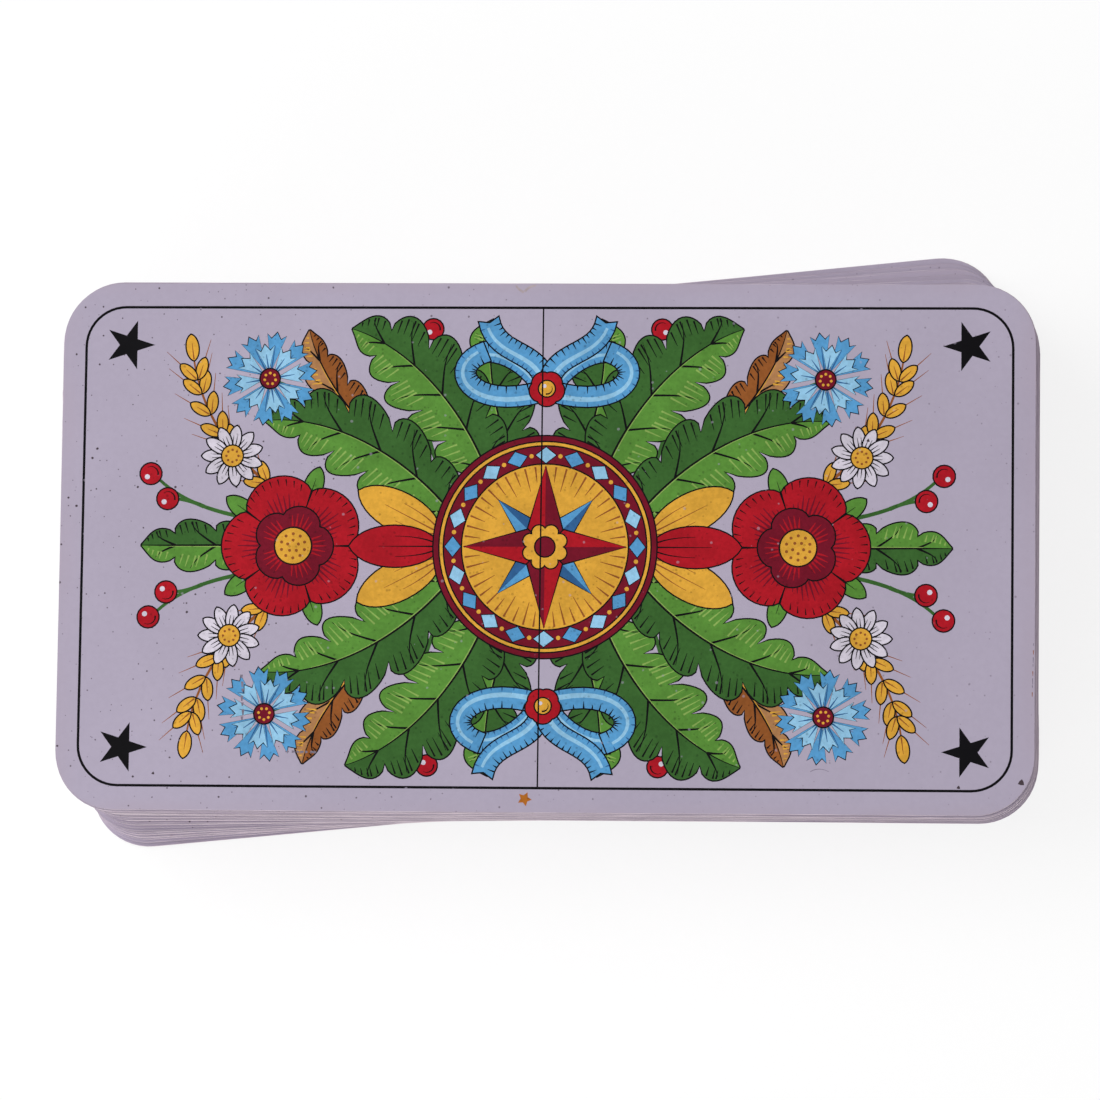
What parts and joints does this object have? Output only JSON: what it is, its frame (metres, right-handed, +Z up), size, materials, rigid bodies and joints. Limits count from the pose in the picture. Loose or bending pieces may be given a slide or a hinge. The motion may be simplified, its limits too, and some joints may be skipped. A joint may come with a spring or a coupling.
{
  "type": "tarot card deck",
  "caption": "Loosely squared pack of large rounded-corner playing cards for the tarot trick game, lying flat, face up, every card free to slide out.",
  "frame": {"origin": "on the table, on the bottom card's underside, below the middle of the top card", "axes": "+X along the top card's length, +Y across it, +Z up out of the printed faces"},
  "size_m": [0.1163, 0.0706, 0.0242],
  "materials": {
    "card_stock": "worn satin"
  },
  "bodies": {
    "clubs_01_02": {"clubs_01_02": "card_stock"},
    "clubs_03_04": {"clubs_03_04": "card_stock"},
    "clubs_05_06": {"clubs_05_06": "card_stock"},
    "clubs_07_08": {"clubs_07_08": "card_stock"},
    "clubs_09_10": {"clubs_09_10": "card_stock"},
    "clubs_jack": {"clubs_jack": "card_stock"},
    "clubs_knight": {"clubs_knight": "card_stock"},
    "clubs_queen": {"clubs_queen": "card_stock"},
    "clubs_king": {"clubs_king": "card_stock"},
    "diamonds_01_02": {"diamonds_01_02": "card_stock"},
    "diamonds_03_04": {"diamonds_03_04": "card_stock"},
    "diamonds_05_06": {"diamonds_05_06": "card_stock"},
    "diamonds_07_08": {"diamonds_07_08": "card_stock"},
    "diamonds_09_10": {"diamonds_09_10": "card_stock"},
    "diamonds_jack": {"diamonds_jack": "card_stock"},
    "diamonds_knight": {"diamonds_knight": "card_stock"},
    "diamonds_queen": {"diamonds_queen": "card_stock"},
    "diamonds_king": {"diamonds_king": "card_stock"},
    "hearts_01_02": {"hearts_01_02": "card_stock"},
    "hearts_03_04": {"hearts_03_04": "card_stock"},
    "hearts_05_06": {"hearts_05_06": "card_stock"},
    "hearts_07_08": {"hearts_07_08": "card_stock"},
    "hearts_09_10": {"hearts_09_10": "card_stock"},
    "hearts_jack": {"hearts_jack": "card_stock"},
    "hearts_knight": {"hearts_knight": "card_stock"},
    "hearts_queen": {"hearts_queen": "card_stock"},
    "hearts_king": {"hearts_king": "card_stock"},
    "spades_01_02": {"spades_01_02": "card_stock"},
    "spades_03_04": {"spades_03_04": "card_stock"},
    "spades_05_06": {"spades_05_06": "card_stock"},
    "spades_07_08": {"spades_07_08": "card_stock"},
    "spades_09_10": {"spades_09_10": "card_stock"},
    "spades_jack": {"spades_jack": "card_stock"},
    "spades_knight": {"spades_knight": "card_stock"},
    "spades_queen": {"spades_queen": "card_stock"},
    "spades_king": {"spades_king": "card_stock"},
    "trump_01": {"trump_01": "card_stock"},
    "trump_02": {"trump_02": "card_stock"},
    "trump_03": {"trump_03": "card_stock"},
    "trump_04": {"trump_04": "card_stock"},
    "trump_05": {"trump_05": "card_stock"},
    "trump_06": {"trump_06": "card_stock"},
    "trump_07": {"trump_07": "card_stock"},
    "trump_08": {"trump_08": "card_stock"},
    "trump_09": {"trump_09": "card_stock"},
    "trump_10": {"trump_10": "card_stock"},
    "trump_11": {"trump_11": "card_stock"},
    "trump_12": {"trump_12": "card_stock"},
    "trump_13": {"trump_13": "card_stock"},
    "trump_14": {"trump_14": "card_stock"},
    "trump_15": {"trump_15": "card_stock"},
    "trump_16": {"trump_16": "card_stock"},
    "trump_17": {"trump_17": "card_stock"},
    "trump_18": {"trump_18": "card_stock"},
    "trump_19": {"trump_19": "card_stock"},
    "trump_20": {"trump_20": "card_stock"},
    "trump_21": {"trump_21": "card_stock"},
    "excuse": {"excuse": "card_stock"}
  },
  "joints": [
    {"name": "draw_excuse", "type": "slide", "parent": "clubs_01_02", "child": "excuse", "axis": [0, -1, 0], "range_m": [-0.075, 0.075]},
    {"name": "draw_trump_21", "type": "slide", "parent": "clubs_01_02", "child": "trump_21", "axis": [0, -1, 0], "range_m": [-0.075, 0.075]},
    {"name": "draw_trump_20", "type": "slide", "parent": "clubs_01_02", "child": "trump_20", "axis": [0, -1, 0], "range_m": [-0.075, 0.075]},
    {"name": "draw_trump_19", "type": "slide", "parent": "clubs_01_02", "child": "trump_19", "axis": [0, -1, 0], "range_m": [-0.075, 0.075]},
    {"name": "draw_trump_18", "type": "slide", "parent": "clubs_01_02", "child": "trump_18", "axis": [0, -1, 0], "range_m": [-0.075, 0.075]},
    {"name": "draw_trump_17", "type": "slide", "parent": "clubs_01_02", "child": "trump_17", "axis": [0, -1, 0], "range_m": [-0.075, 0.075]},
    {"name": "draw_trump_16", "type": "slide", "parent": "clubs_01_02", "child": "trump_16", "axis": [0, -1, 0], "range_m": [-0.075, 0.075]},
    {"name": "draw_trump_15", "type": "slide", "parent": "clubs_01_02", "child": "trump_15", "axis": [0, -1, 0], "range_m": [-0.075, 0.075]},
    {"name": "draw_trump_14", "type": "slide", "parent": "clubs_01_02", "child": "trump_14", "axis": [0, -1, 0], "range_m": [-0.075, 0.075]},
    {"name": "draw_trump_13", "type": "slide", "parent": "clubs_01_02", "child": "trump_13", "axis": [0, -1, 0], "range_m": [-0.075, 0.075]},
    {"name": "draw_trump_12", "type": "slide", "parent": "clubs_01_02", "child": "trump_12", "axis": [0, -1, 0], "range_m": [-0.075, 0.075]},
    {"name": "draw_trump_11", "type": "slide", "parent": "clubs_01_02", "child": "trump_11", "axis": [0, -1, 0], "range_m": [-0.075, 0.075]},
    {"name": "draw_trump_10", "type": "slide", "parent": "clubs_01_02", "child": "trump_10", "axis": [0, -1, 0], "range_m": [-0.075, 0.075]},
    {"name": "draw_trump_09", "type": "slide", "parent": "clubs_01_02", "child": "trump_09", "axis": [0, -1, 0], "range_m": [-0.075, 0.075]},
    {"name": "draw_trump_08", "type": "slide", "parent": "clubs_01_02", "child": "trump_08", "axis": [0, -1, 0], "range_m": [-0.075, 0.075]},
    {"name": "draw_trump_07", "type": "slide", "parent": "clubs_01_02", "child": "trump_07", "axis": [0, -1, 0], "range_m": [-0.075, 0.075]},
    {"name": "draw_trump_06", "type": "slide", "parent": "clubs_01_02", "child": "trump_06", "axis": [0, -1, 0], "range_m": [-0.075, 0.075]},
    {"name": "draw_trump_05", "type": "slide", "parent": "clubs_01_02", "child": "trump_05", "axis": [0, -1, 0], "range_m": [-0.075, 0.075]},
    {"name": "draw_trump_04", "type": "slide", "parent": "clubs_01_02", "child": "trump_04", "axis": [0, -1, 0], "range_m": [-0.075, 0.075]},
    {"name": "draw_trump_03", "type": "slide", "parent": "clubs_01_02", "child": "trump_03", "axis": [0, -1, 0], "range_m": [-0.075, 0.075]},
    {"name": "draw_trump_02", "type": "slide", "parent": "clubs_01_02", "child": "trump_02", "axis": [0, -1, 0], "range_m": [-0.075, 0.075]},
    {"name": "draw_trump_01", "type": "slide", "parent": "clubs_01_02", "child": "trump_01", "axis": [0, -1, 0], "range_m": [-0.075, 0.075]},
    {"name": "draw_spades_king", "type": "slide", "parent": "clubs_01_02", "child": "spades_king", "axis": [0, -1, 0], "range_m": [-0.075, 0.075]},
    {"name": "draw_spades_queen", "type": "slide", "parent": "clubs_01_02", "child": "spades_queen", "axis": [0, -1, 0], "range_m": [-0.075, 0.075]},
    {"name": "draw_spades_knight", "type": "slide", "parent": "clubs_01_02", "child": "spades_knight", "axis": [0, -1, 0], "range_m": [-0.075, 0.075]},
    {"name": "draw_spades_jack", "type": "slide", "parent": "clubs_01_02", "child": "spades_jack", "axis": [0, -1, 0], "range_m": [-0.075, 0.075]},
    {"name": "draw_spades_09_10", "type": "slide", "parent": "clubs_01_02", "child": "spades_09_10", "axis": [0, -1, 0], "range_m": [-0.075, 0.075]},
    {"name": "draw_spades_07_08", "type": "slide", "parent": "clubs_01_02", "child": "spades_07_08", "axis": [0, -1, 0], "range_m": [-0.075, 0.075]},
    {"name": "draw_spades_05_06", "type": "slide", "parent": "clubs_01_02", "child": "spades_05_06", "axis": [0, -1, 0], "range_m": [-0.075, 0.075]},
    {"name": "draw_spades_03_04", "type": "slide", "parent": "clubs_01_02", "child": "spades_03_04", "axis": [0, -1, 0], "range_m": [-0.075, 0.075]},
    {"name": "draw_spades_01_02", "type": "slide", "parent": "clubs_01_02", "child": "spades_01_02", "axis": [0, -1, 0], "range_m": [-0.075, 0.075]},
    {"name": "draw_hearts_king", "type": "slide", "parent": "clubs_01_02", "child": "hearts_king", "axis": [0, -1, 0], "range_m": [-0.075, 0.075]},
    {"name": "draw_hearts_queen", "type": "slide", "parent": "clubs_01_02", "child": "hearts_queen", "axis": [0, -1, 0], "range_m": [-0.075, 0.075]},
    {"name": "draw_hearts_knight", "type": "slide", "parent": "clubs_01_02", "child": "hearts_knight", "axis": [0, -1, 0], "range_m": [-0.075, 0.075]},
    {"name": "draw_hearts_jack", "type": "slide", "parent": "clubs_01_02", "child": "hearts_jack", "axis": [0, -1, 0], "range_m": [-0.075, 0.075]},
    {"name": "draw_hearts_09_10", "type": "slide", "parent": "clubs_01_02", "child": "hearts_09_10", "axis": [0, -1, 0], "range_m": [-0.075, 0.075]},
    {"name": "draw_hearts_07_08", "type": "slide", "parent": "clubs_01_02", "child": "hearts_07_08", "axis": [0, -1, 0], "range_m": [-0.075, 0.075]},
    {"name": "draw_hearts_05_06", "type": "slide", "parent": "clubs_01_02", "child": "hearts_05_06", "axis": [0, -1, 0], "range_m": [-0.075, 0.075]},
    {"name": "draw_hearts_03_04", "type": "slide", "parent": "clubs_01_02", "child": "hearts_03_04", "axis": [0, -1, 0], "range_m": [-0.075, 0.075]},
    {"name": "draw_hearts_01_02", "type": "slide", "parent": "clubs_01_02", "child": "hearts_01_02", "axis": [0, -1, 0], "range_m": [-0.075, 0.075]},
    {"name": "draw_diamonds_king", "type": "slide", "parent": "clubs_01_02", "child": "diamonds_king", "axis": [0, -1, 0], "range_m": [-0.075, 0.075]},
    {"name": "draw_diamonds_queen", "type": "slide", "parent": "clubs_01_02", "child": "diamonds_queen", "axis": [0, -1, 0], "range_m": [-0.075, 0.075]},
    {"name": "draw_diamonds_knight", "type": "slide", "parent": "clubs_01_02", "child": "diamonds_knight", "axis": [0, -1, 0], "range_m": [-0.075, 0.075]},
    {"name": "draw_diamonds_jack", "type": "slide", "parent": "clubs_01_02", "child": "diamonds_jack", "axis": [0, -1, 0], "range_m": [-0.075, 0.075]},
    {"name": "draw_diamonds_09_10", "type": "slide", "parent": "clubs_01_02", "child": "diamonds_09_10", "axis": [0, -1, 0], "range_m": [-0.075, 0.075]},
    {"name": "draw_diamonds_07_08", "type": "slide", "parent": "clubs_01_02", "child": "diamonds_07_08", "axis": [0, -1, 0], "range_m": [-0.075, 0.075]},
    {"name": "draw_diamonds_05_06", "type": "slide", "parent": "clubs_01_02", "child": "diamonds_05_06", "axis": [0, -1, 0], "range_m": [-0.075, 0.075]},
    {"name": "draw_diamonds_03_04", "type": "slide", "parent": "clubs_01_02", "child": "diamonds_03_04", "axis": [0, -1, 0], "range_m": [-0.075, 0.075]},
    {"name": "draw_diamonds_01_02", "type": "slide", "parent": "clubs_01_02", "child": "diamonds_01_02", "axis": [0, -1, 0], "range_m": [-0.075, 0.075]},
    {"name": "draw_clubs_king", "type": "slide", "parent": "clubs_01_02", "child": "clubs_king", "axis": [0, -1, 0], "range_m": [-0.075, 0.075]},
    {"name": "draw_clubs_queen", "type": "slide", "parent": "clubs_01_02", "child": "clubs_queen", "axis": [0, -1, 0], "range_m": [-0.075, 0.075]},
    {"name": "draw_clubs_knight", "type": "slide", "parent": "clubs_01_02", "child": "clubs_knight", "axis": [0, -1, 0], "range_m": [-0.075, 0.075]},
    {"name": "draw_clubs_jack", "type": "slide", "parent": "clubs_01_02", "child": "clubs_jack", "axis": [0, -1, 0], "range_m": [-0.075, 0.075]},
    {"name": "draw_clubs_09_10", "type": "slide", "parent": "clubs_01_02", "child": "clubs_09_10", "axis": [0, -1, 0], "range_m": [-0.075, 0.075]},
    {"name": "draw_clubs_07_08", "type": "slide", "parent": "clubs_01_02", "child": "clubs_07_08", "axis": [0, -1, 0], "range_m": [-0.075, 0.075]},
    {"name": "draw_clubs_05_06", "type": "slide", "parent": "clubs_01_02", "child": "clubs_05_06", "axis": [0, -1, 0], "range_m": [-0.075, 0.075]},
    {"name": "draw_clubs_03_04", "type": "slide", "parent": "clubs_01_02", "child": "clubs_03_04", "axis": [0, -1, 0], "range_m": [-0.075, 0.075]}
  ]
}
